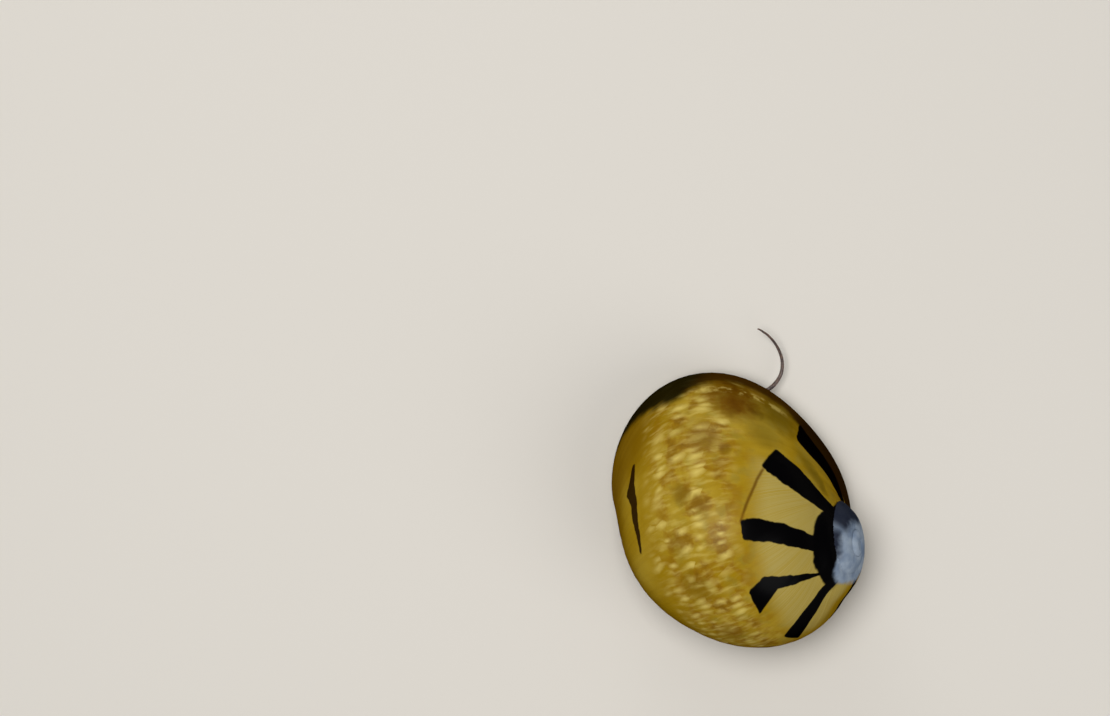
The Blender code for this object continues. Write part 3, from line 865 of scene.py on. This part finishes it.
rear = sorted((point.dot(DECK_SIDE), point.dot(DECK_WAY)) for point in LIP_OUTLINE
              if point.dot(DECK_WAY) > 1.2 * MM)
rear_side, rear_back = np.array(rear).T
deck = bmesh.new()
DECK_COLUMNS, DECK_ROWS = 140, 30
bmesh.ops.create_grid(deck, x_segments=DECK_COLUMNS, y_segments=DECK_ROWS, size=0.5)
side_low, side_high = rear_side.min() + 0.5 * MM, rear_side.max() - 0.5 * MM
for vert in deck.verts:
    across, depth = vert.co.x + 0.5, vert.co.y + 0.5
    side = side_low + (side_high - side_low) * across
    bulge = math.sin(math.pi * across)
    tooth = TOOTH_LONG * max(math.cos(math.tau * across * TEETH), 0) * bulge ** 2
    tooth += EDGE_WAVE * math.cos(math.tau * across) * bulge
    front = DECK_BEHIND - tooth
    back = max(float(np.interp(side, rear_side, rear_back)) - 0.25 * MM, front + 0.02 * MM)
    swell = DECK_SWELL * bulge * math.sin(math.pi * min(depth * 1.2, 1))
    up = MOUTH_UP - 0.02 * MM - swell + DECK_EDGE_UP * (1 - smooth_step(depth, 0, 0.06))
    vert.co = DECK_SIDE * side + DECK_WAY * (front + (back - front) * depth ** 1.2) + Vector((0, 0, up))
rim = [edge for edge in deck.edges if edge.is_boundary
       and all(vert.co.dot(DECK_WAY) < DECK_BEHIND + 0.2 * MM for vert in edge.verts)
       and abs((edge.verts[0].co - edge.verts[1].co).dot(DECK_SIDE)) > 0.01 * MM]
for back, up in DECK_FRONT_RINGS:
    verts, rim, _ = new_ring(deck, rim)
    bmesh.ops.translate(deck, verts=verts, vec=DECK_WAY * back * MM + Vector((0, 0, up * MM)))
bmesh.ops.recalc_face_normals(deck, faces=deck.faces)
if sum(face.normal.z for face in deck.faces) > 0:
    bmesh.ops.reverse_faces(deck, faces=deck.faces)
deck_piece = add_piece("deck", deck, "shell", porcelain)

# %% [markdown]
# ## The soft body
#
# Foot, neck, head, eyestalks and the collar of the mantle are one animal, so they get one skin. Each
# is first a simple closed body, a ball pressed to shape, and a voxel remesh melts them together.
# Remeshing would eat the thin feelers, so these are drawn as tubes afterwards, with flared roots
# that lie flush in the head.

# %% Simple bodies
SOLE_HALF_LONG, SOLE_HALF_WIDE, SOLE_FORE = 7.3 * MM, 5.7 * MM, -0.9 * MM
SOLE_RIM, SOLE_BACK = 0.4 * MM, 0.72 * MM
NECK_TOP, NECK_FORE, NECK_HALF_LONG, NECK_HALF_WIDE = 1.5 * MM, 2.5 * MM, 4.4 * MM, 3.7 * MM
HEAD_MIDDLE, SNOUT_TIP, SNOUT_HALF_WIDE = 4.85 * MM, 8.85 * MM, 2.45 * MM
SNOUT_TOP, SNOUT_UNDER, SNOUT_NOTCH = 1.55 * MM, 0.2 * MM, 0.3 * MM
CORE_HALF_WIDE, CORE_HALF_LONG = 3.5 * MM, 4.1 * MM  # the neck's core, inside the mouth
CORE_FORE, CORE_UP, CORE_SWELL = 2.3 * MM, 1.5 * MM, 0.8 * MM


def oval(turn, half_x, half_y, power=2):
    """Distance from the middle to the rim of an oval in this direction."""
    across, ahead = abs(math.cos(turn)) / half_x, abs(math.sin(turn)) / half_y
    return (across ** power + ahead ** power) ** (-1 / power)


def pressed_ball(bm, columns, rings, place):
    """Closed body from a ball; place(round, out, is_top) gives each point."""
    made = bmesh.ops.create_uvsphere(bm, u_segments=columns, v_segments=2 * rings, radius=1)["verts"]
    for vert in made:
        height = math.asin(max(-1, min(1, vert.co.z)))
        out = 1 - abs(height) / (math.pi / 2)
        vert.co = place(math.atan2(vert.co.y, vert.co.x), out, vert.co.z > -1e-4)


def place_foot(turn, out, is_top):
    frill = 1 + 0.008 * math.sin(9 * turn) + 0.005 * math.sin(23 * turn)
    rim = oval(turn, SOLE_HALF_WIDE, SOLE_HALF_LONG, 2.2) * frill
    right, fore = rim * out * math.cos(turn), SOLE_FORE + rim * out * math.sin(turn)
    base = SOLE_RIM + (SOLE_BACK - SOLE_RIM) * (1 - out ** 3)
    far = math.hypot(right / NECK_HALF_WIDE, (fore - NECK_FORE) / NECK_HALF_LONG)
    top = base + (NECK_TOP - base) * (1 - smooth_step(far, 0.75, 1.15))
    return spot(right, fore, top * (1 - out ** 24) ** 0.5 if is_top else 0)


def place_neck(turn, out, is_top):
    rim = oval(turn, CORE_HALF_WIDE, CORE_HALF_LONG, 2.3) * out
    swell = (1 - out ** 4) ** 0.5 * CORE_SWELL * (1 if is_top else -1)
    return spot(rim * math.cos(turn), CORE_FORE + rim * math.sin(turn), CORE_UP + swell)


def place_head(turn, out, is_top):
    rim = oval(turn, SNOUT_HALF_WIDE, SNOUT_TIP - HEAD_MIDDLE, 2.8)
    right = rim * out * math.cos(turn)
    notch = SNOUT_NOTCH * out ** 4 * math.exp(-(right / (0.7 * MM)) ** 2) * max(math.sin(turn), 0)
    swell = (1 - out ** 3) ** 0.5 * (SNOUT_TOP - SNOUT_UNDER) / 2
    middle = (SNOUT_TOP + SNOUT_UNDER) / 2
    fore = HEAD_MIDDLE + rim * out * math.sin(turn) - notch
    return spot(right, fore, middle + (swell if is_top else -swell))


COLLAR_INSET = 0.66 * MM


def place_mantle(turn, out, is_top):
    way = Vector((math.cos(turn), math.sin(turn), 0))
    reach = lip_reach(turn) - COLLAR_INSET
    if way.dot(DECK_WAY) > 0.01:
        deck_reach = (DECK_BEHIND - 0.2 * MM) / way.dot(DECK_WAY)
        reach = (reach ** -10 + deck_reach ** -10) ** -0.1
    frill = 1 + 0.006 * math.sin(31 * turn) + 0.004 * math.sin(47 * turn + 1)
    up = 1.3 * MM * (1 - out ** 2) if is_top else -0.14 * MM * (1 - out ** 8) ** 0.5
    return way * reach * out * frill + Vector((0, 0, MOUTH_UP + 0.04 * MM + up))


rough = bmesh.new()
pressed_ball(rough, 128, 24, place_foot)
pressed_ball(rough, 64, 12, place_neck)
pressed_ball(rough, 96, 20, place_head)
pressed_ball(rough, 160, 20, place_mantle)
print(f"simple bodies: {len(rough.faces)} faces")

# %% [markdown]
# The stalks that carry the eyes are short cones on the outer side of the feelers. A tube is one
# circle, extruded along a path and scaled at each step.

# %% Tubes and eyestalks
STALK = ((2, 6.6, 0.9), (2.5, 6.45, 1.05), (3, 6.28, 1.16), (3.4, 6.15, 1.22))
STALK_END = Vector(STALK[-1])  # both to the side, forward and up, in millimetres


def grow_tube(bm, path, radii, sides):
    """Closed tapered tube along a path, grown ring by ring; gives its rings of points."""
    way = (path[1] - path[0]).normalized()
    place = Matrix.Translation(path[0]) @ way.to_track_quat("Z", "Y").to_matrix().to_4x4()
    start = bmesh.ops.create_circle(bm, cap_ends=True, radius=radii[0], segments=sides,
                                    matrix=place)["verts"]
    known, near = set(start), {edge for vert in start for edge in vert.link_edges}
    rim = [edge for edge in near if known.issuperset(edge.verts)]
    rings = [start]
    for index in range(1, len(path)):
        verts, rim, _ = new_ring(bm, rim)
        next_way = (path[min(index + 1, len(path) - 1)] - path[index - 1]).normalized()
        turn = way.rotation_difference(next_way).to_matrix().to_4x4()
        size = Matrix.Scale(radii[index] / radii[index - 1], 4)
        step = Matrix.Translation(path[index]) @ turn @ size @ Matrix.Translation(-path[index - 1])
        bmesh.ops.transform(bm, matrix=step, verts=verts)
        way = next_way
        rings.append(verts)
    bmesh.ops.holes_fill(bm, edges=rim, sides=0)
    return rings


def smooth_path(points, steps):
    """Points along a smooth curve through the given ones, which are right, fore and up in mm."""
    marks = [spot(*point) * MM for point in points]
    marks = [2 * marks[0] - marks[1]] + marks + [2 * marks[-1] - marks[-2]]
    path = []
    for index in range(1, len(marks) - 2):
        a, b, c, d = marks[index - 1:index + 3]
        for step in range(steps):
            t = step / steps
            path.append(0.5 * (2 * b + (c - a) * t + (2 * a - 5 * b + 4 * c - d) * t ** 2
                               + (3 * b - a - 3 * c + d) * t ** 3))
    return path + [marks[-2]]


for side in (1, -1):
    path = smooth_path([(side * right, fore, up) for right, fore, up in STALK], 4)
    last = len(path) - 1
    radii = [(0.52 - 0.26 * smooth_step(step / last, 0, 0.8)) * MM for step in range(last + 1)]
    grow_tube(rough, path, radii, 20)
bmesh.ops.recalc_face_normals(rough, faces=rough.faces)
print("eyestalks added")

# %% One skin
VOXEL = 0.1 * MM


def melt(bm, voxel, rounds):
    """Remesh closed bodies that pass through each other into one smooth skin."""
    thing = new_object("rough", new_mesh("rough", bm))
    remesh = thing.modifiers.new("melt", "REMESH")
    remesh.mode, remesh.voxel_size = "VOXEL", voxel
    calm = thing.modifiers.new("calm", "SMOOTH")
    calm.factor, calm.iterations = 0.5, rounds
    bpy.context.view_layer.update()
    final = thing.evaluated_get(bpy.context.evaluated_depsgraph_get())
    done = bpy.data.meshes.new_from_object(final)
    bpy.data.objects.remove(thing)
    melted = bmesh.new()
    melted.from_mesh(done)
    return melted


skin = melt(rough, VOXEL, 8)
print(f"skin: {len(skin.faces)} faces")

# %% [markdown]
# Skin is never smooth. The head gets its finer mesh first; then every point moves a little along
# its normal: soft folds round the neck, a grain of fine warts, and on the snout the mouth with its
# two lips and the small wrinkles that run towards it. The sole stays flat on the floor.

# %% Folds, warts and mouth
MOUTH_SLIT_UP, MOUTH_HALF = 0.72 * MM, 0.85 * MM
HEAD_FROM, HEAD_BELOW = 5.6 * MM, 1.72 * MM
SKIN_MARKS = ("sole", "collar", "feeler", "slit", "lips", "eye ring")
head_edges = [edge for edge in skin.edges
              if all(-vert.co.y > HEAD_FROM and vert.co.z < HEAD_BELOW for vert in edge.verts)]
bmesh.ops.subdivide_edges(skin, edges=head_edges, cuts=1, use_grid_fill=True)
bmesh.ops.triangulate(skin, faces=[face for face in skin.faces if len(face.verts) > 4])
skin.normal_update()
is_sole, is_collar, _, is_slit, is_lips, is_eye_ring = [
    skin.verts.layers.float.new(name) for name in SKIN_MARKS]
for vert in skin.verts:
    right, fore, up = -vert.co.x, -vert.co.y, vert.co.z
    body = smooth_step(up, 0.02 * MM, 0.25 * MM)
    vert[is_sole] = 1 - smooth_step(up, 0.03 * MM, 0.16 * MM)
    vert[is_collar] = smooth_step(up, MOUTH_UP - 0.32 * MM, MOUTH_UP - 0.1 * MM)
    point = vert.co / MM
    fold = noise.noise(Vector((point.x * 0.8, point.y * 1.5, point.z * 3.5)))
    warts = noise.noise(point * 3.4) + 0.6 * noise.noise(point * 7.5)
    move = (0.035 * fold + 0.018 * warts) * body
    on_front = smooth_step(fore, 7.9 * MM, 8.8 * MM) * smooth_step(-vert.normal.y, 0.1, 0.5)
    if on_front > 0:
        side = right / MOUTH_HALF
        line = (up - MOUTH_SLIT_UP + 0.1 * MM * side ** 2) / (0.1 * MM)
        within = smooth_step(1.1 - abs(side), 0, 0.35)
        ring = math.hypot(side, (up - MOUTH_SLIT_UP) / (0.45 * MM))
        rays = math.cos(16 * math.atan2(up - MOUTH_SLIT_UP, right))
        rays *= math.exp(-((ring - 1.35) / 0.4) ** 2)
        vert[is_slit] = on_front * within * math.exp(-line ** 2)
        vert[is_lips] = on_front * within * math.exp(-(abs(line) - 2.1) ** 2)
        cheeks = math.exp(-((abs(right) / MM - 1.35) / 0.45) ** 2 - ((up / MM - 0.95) / 0.4) ** 2)
        groove = math.exp(-(right / (0.16 * MM)) ** 2) * smooth_step(up, 0.95 * MM, 1.2 * MM)
        move += 0.12 * vert[is_lips] - 0.32 * vert[is_slit]
        move += on_front * (0.018 * rays + 0.08 * cheeks - 0.07 * groove)
    from_eye = (Vector((abs(right), fore, up)) / MM - STALK_END).length
    vert[is_eye_ring] = math.exp(-((from_eye - 0.3) / 0.09) ** 2)
    vert.co += vert.normal * move * MM
    if vert.co.z < 0.03 * MM:
        vert.co.z = 0
print("skin relief done")

# %% [markdown]
# Feelers are long threads that narrow evenly from a broad root. Tiny rings run round them where
# the skin folds as they stretch.

# %% Feelers
ROOT, NARROWS, FLARE = 0.185, 0.135, 0.34  # millimetres of radius
FEELER_PATHS = (  # right, fore and up, in millimetres
    [(1.7, 7.1, 0.86), (2.25, 7.17, 0.95), (2.82, 7.15, 1), (3.7, 6.9, 1.05), (4.6, 7.05, 1),
     (5.35, 7.65, 0.95), (5.68, 8.5, 1), (5.62, 9.4, 1.15), (5.3, 10.2, 1.35), (4.87, 10.75, 1.5),
     (4.72, 10.87, 1.55)],
    [(-1.7, 7.1, 0.86), (-2.25, 7.15, 0.95), (-2.82, 7.15, 1), (-3.7, 7.1, 1.05), (-4.7, 6.75, 1.05),
     (-5.5, 6, 1), (-6.05, 5, 0.95), (-6.35, 3.9, 0.95), (-6.45, 2.8, 1), (-6.43, 2.6, 1)],
)
feelers = bmesh.new()
feeler_mark = feelers.verts.layers.float.new("feeler")
for points in FEELER_PATHS:
    path = smooth_path(points, 18)
    radii = []
    for index in range(len(path)):
        share = index / (len(path) - 1)
        flare = FLARE * (1 - smooth_step(share, 0, 0.17)) ** 1.5
        ringed = 1 + 0.035 * math.sin(index * 1.6)
        ringed += 0.05 * noise.noise(Vector((index * 0.21, points[0][0], 0)))
        radii.append((ROOT - NARROWS * share + flare) * MM * ringed)
    path.append(path[-1] + (path[-1] - path[-2]).normalized() * radii[-1] * 0.6)
    radii.append(radii[-1] * 0.4)
    for index, ring in enumerate(grow_tube(feelers, path, radii, 18)):
        for vert in ring:
            vert[feeler_mark] = 0.1 + index / len(path)
bmesh.ops.recalc_face_normals(feelers, faces=feelers.faces)
skin.from_mesh(new_mesh("feelers", feelers))
print(f"skin with feelers: {len(skin.faces)} faces")

# %% [markdown]
# The skin is dark grey and olive, crowded with fine black lines and small yellow dots, and wet. The
# sole is pale. Light goes a little way into it, which the shader's subsurface share gives.

# %% Skin finish
skin_finish, tree, shader = new_material("skin_finish", 0.35, 0.2, 0.18)
shader["Subsurface Weight"].default_value = 0.12
shader["Subsurface Radius"].default_value = (1, 0.6, 0.35)
shader["Subsurface Scale"].default_value = 0.3 * MM
place = object_place()
marks = {name: add("Attribute", attribute_name=name).outputs["Fac"] for name in SKIN_MARKS}
grain = speckle(place, 5200, 3)
cloud = speckle(place, 900, 4, 0.6)
stretched = add("VectorMath", operation="MULTIPLY")
feed(stretched.inputs[0], place)
stretched.inputs[1].default_value = (1.9, 1, 1.4)
veins = add("TexVoronoi", feature="DISTANCE_TO_EDGE")
feed_all(veins, {"Vector": stretched.outputs[0], "Scale": 3800})
net = less(veins.outputs["Distance"], 0.02, 0.2)
dots = add("TexVoronoi")
feed_all(dots, {"Vector": place, "Scale": 5200})
dot = times(less(dots.outputs["Distance"], 0.1, 0.34), soft(grain, 0.4, 0.6))
colour = mix(soft(cloud, 0.35, 0.65), hue(74, 70, 56), hue(128, 119, 90))
for mask, strength, tone in (
        (net, 0.6, (34, 30, 27)), (dot, 0.6, (186, 170, 112)),
        (marks["lips"], 0.6, (172, 140, 116)), (marks["slit"], 0.95, (40, 14, 12)),
        (marks["eye ring"], 0.35, (170, 158, 118)), (marks["collar"], 0.6, (150, 142, 104))):
    colour = mix(times(mask, strength), colour, hue(*tone))
sole_colour = mix(soft(cloud, 0.3, 0.7), hue(176, 168, 148), hue(142, 134, 116))
colour = mix(marks["sole"], colour, sole_colour)
feeler = soft(marks["feeler"], 0.12, 0.3)
feeler_colour = mix(soft(grain, 0.4, 0.65), hue(92, 68, 56), hue(52, 38, 34))
colour = mix(feeler, colour, feeler_colour)
feed(shader["Base Color"], colour)
feed(shader["Roughness"], scaled(grain, 0.25, 0.25))
height = calc("ADD", times(net, -0.5), times(grain, 0.5))
feed(shader["Normal"], bump(height, 0.02 * MM))
skin_piece = add_piece("skin", skin, "flesh", skin_finish)
flesh_nodes = [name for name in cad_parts
               if name in ("mantle", "foot", "head") or name.startswith(("tentacle", "eyestalk"))]
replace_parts(skin_piece, *flesh_nodes)

# %% [markdown]
# ## Eyes
#
# Each eye is a small black bead on the tip of its stalk, with a clear wet front. A ball, flattened
# a little along the stalk, is enough, because the highlight makes it an eye.

# %% Eyes
EYE_RADIUS, EYE_FLAT, EYE_OUT = 0.27 * MM, 0.88, 0.1 * MM
EYE_BASE = (2.72, 6.4, 1.1)  # the stalk's last stretch points from here to its end
eye_finish, tree, shader = new_material("eye_finish", 0.08, 1)
place = object_place()
feed(shader["Base Color"], mix(speckle(place, 6000), hue(8, 7, 8), hue(26, 20, 16)))
for name, side in (("right", 1), ("left", -1)):
    base, end = [spot(side * across, fore, up) * MM for across, fore, up in (EYE_BASE, STALK[-1])]
    way = (end - base).normalized()
    place = Matrix.Translation(end + way * EYE_OUT) @ way.to_track_quat("Z", "Y").to_matrix().to_4x4()
    eye = bmesh.new()
    bmesh.ops.create_uvsphere(eye, u_segments=40, v_segments=24, radius=EYE_RADIUS,
                              matrix=place @ Matrix.Diagonal((1, 1, EYE_FLAT, 1)))
    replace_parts(add_piece(f"eye_ball_{name}", eye, "eye", eye_finish), f"eye_{name}")

# %% [markdown]
# ## Operculum
#
# The operculum is the lid that shuts the mouth when the animal draws in, and it lies on the back
# of the foot while it crawls. It is a chalky half-moon plate that grew round one corner, so
# its growth lines are arcs round that corner.

# %% Operculum
LID_RIGHT, LID_FORE, LID_UP = 0.5 * MM, -4.4 * MM, 1.03 * MM
LID_HALF_WIDE, LID_HALF_LONG, LID_THICK, LID_STRAIGHT = 4 * MM, 2.7 * MM, 0.5 * MM, 1.5 * MM
LID_CORNER = spot(LID_RIGHT + 2.9 * MM, LID_FORE + 1.2 * MM, LID_UP)
LID_SOFT, LID_RIDGE = 0.3 * MM, 0.012 * MM


def place_lid(turn, out, is_top):
    rim = oval(turn, LID_HALF_WIDE, LID_HALF_LONG, 2) * out
    right, fore = rim * math.cos(turn), rim * math.sin(turn)
    if fore >= LID_STRAIGHT - LID_SOFT:
        fore = LID_STRAIGHT - LID_SOFT * math.exp(-(fore - LID_STRAIGHT + LID_SOFT) / LID_SOFT)
    crown = LID_THICK * (0.74 + 0.22 * (1 - out ** 2)) * (1 - out ** 16) ** 0.5
    point = spot(LID_RIGHT + right, LID_FORE + fore, LID_UP + (crown if is_top else 0))
    if is_top:
        far = (point - LID_CORNER).to_2d().length / MM
        point.z += LID_RIDGE * math.sin(far * 9 + noise.noise(point * 900)) * (1 - out ** 6)
    return point


lid = bmesh.new()
pressed_ball(lid, 160, 44, place_lid)
bmesh.ops.recalc_face_normals(lid, faces=lid.faces)
lid_finish, tree, shader = new_material("lid_finish", 0.4, 0.1)
place = object_place()
corner = add("VectorMath", operation="DISTANCE")
feed(corner.inputs[0], place)
corner.inputs[1].default_value = LID_CORNER + SHIFT
rings = speckle(join(times(corner.outputs["Value"], 5200), 0), 1, 2, 0.6, "2D")
cloud = speckle(place, 700, 3)
colour = mix(soft(rings, 0.35, 0.65), hue(206, 190, 170), hue(150, 122, 104))
colour = mix(times(soft(cloud, 0.45, 0.7), 0.5), colour, hue(98, 84, 78))
feed(shader["Base Color"], colour)
feed(shader["Roughness"], scaled(rings, 0.3, 0.25))
feed(shader["Normal"], bump(rings, 0.02 * MM))
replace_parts(add_piece("operculum_plate", lid, "operculum", lid_finish), "operculum")

# %% [markdown]
# ## Floor, light and camera
#
# The camera looks straight down through a long lens, so that the outline of the shell is the one
# in the picture. The animal's heading is turned 16 degrees from the picture's upward direction,
# and the shell sits right of and below the middle of the frame.

# %% Camera
PIXEL = MM / 15.68
PICTURE = (1110, 716)
SHELL_PIXEL = (735, 513)
UP_CLOCK, LENS, SENSOR = 16, 220, 36
picture_up, picture_right = clock(UP_CLOCK), clock(UP_CLOCK + 90)
aim = SHIFT + picture_right * (PICTURE[0] / 2 - SHELL_PIXEL[0]) * PIXEL
aim += picture_up * (SHELL_PIXEL[1] - PICTURE[1] / 2) * PIXEL
LENS_LEVEL = 4.5 * MM  # height at which the picture's scale holds
distance = PICTURE[0] * PIXEL * LENS / SENSOR
camera = new_object("camera", bpy.data.cameras.new("camera"))
camera.data.lens, camera.data.sensor_width = LENS, SENSOR
camera.data.clip_start = 0.005
turned = Matrix((picture_right, picture_up, Vector((0, 0, 1)))).transposed().to_4x4()
camera.matrix_world = Matrix.Translation(aim + Vector((0, 0, distance + LENS_LEVEL))) @ turned
bpy.context.scene.camera = camera
print(f"camera {distance / MM:.0f} mm above the shell")

# %% Floor and lights
ground_plane = bmesh.new()
bmesh.ops.create_grid(ground_plane, x_segments=2, y_segments=2, size=0.6)
floor_finish, tree, shader = new_material("floor_finish", 0.7)
shader["Base Color"].default_value = hue(214, 208, 198)
floor = new_object("floor", new_mesh("floor", ground_plane, floor_finish))

world = bpy.data.worlds.new("studio")
world.use_nodes = True
world.node_tree.nodes["Background"].inputs[0].default_value = hue(232, 236, 242)
world.node_tree.nodes["Background"].inputs[1].default_value = 0.22
bpy.context.scene.world = world
LAMPS = (  # picture right, picture up, height and size in mm, power in watts
    ("key", (-50, 25, 255), 150, 0.47),
    ("fill", (150, -100, 170), 200, 0.165),
    ("front", (-60, 230, 60), 160, 0.16),
)
for name, (right, up, height), size, power in LAMPS:
    lamp = bpy.data.lights.new(name, "AREA")
    lamp.shape, lamp.size, lamp.energy = "DISK", size * MM, power
    thing = new_object(name, lamp)
    spot_at = SHIFT + (picture_right * right + picture_up * up + Vector((0, 0, height))) * MM
    aimed = (SHIFT - spot_at).to_track_quat("-Z", "Y").to_matrix().to_4x4()
    thing.matrix_world = Matrix.Translation(spot_at) @ aimed
bpy.context.scene.view_settings.view_transform = "Standard"
print(len(LAMPS), "lamps")
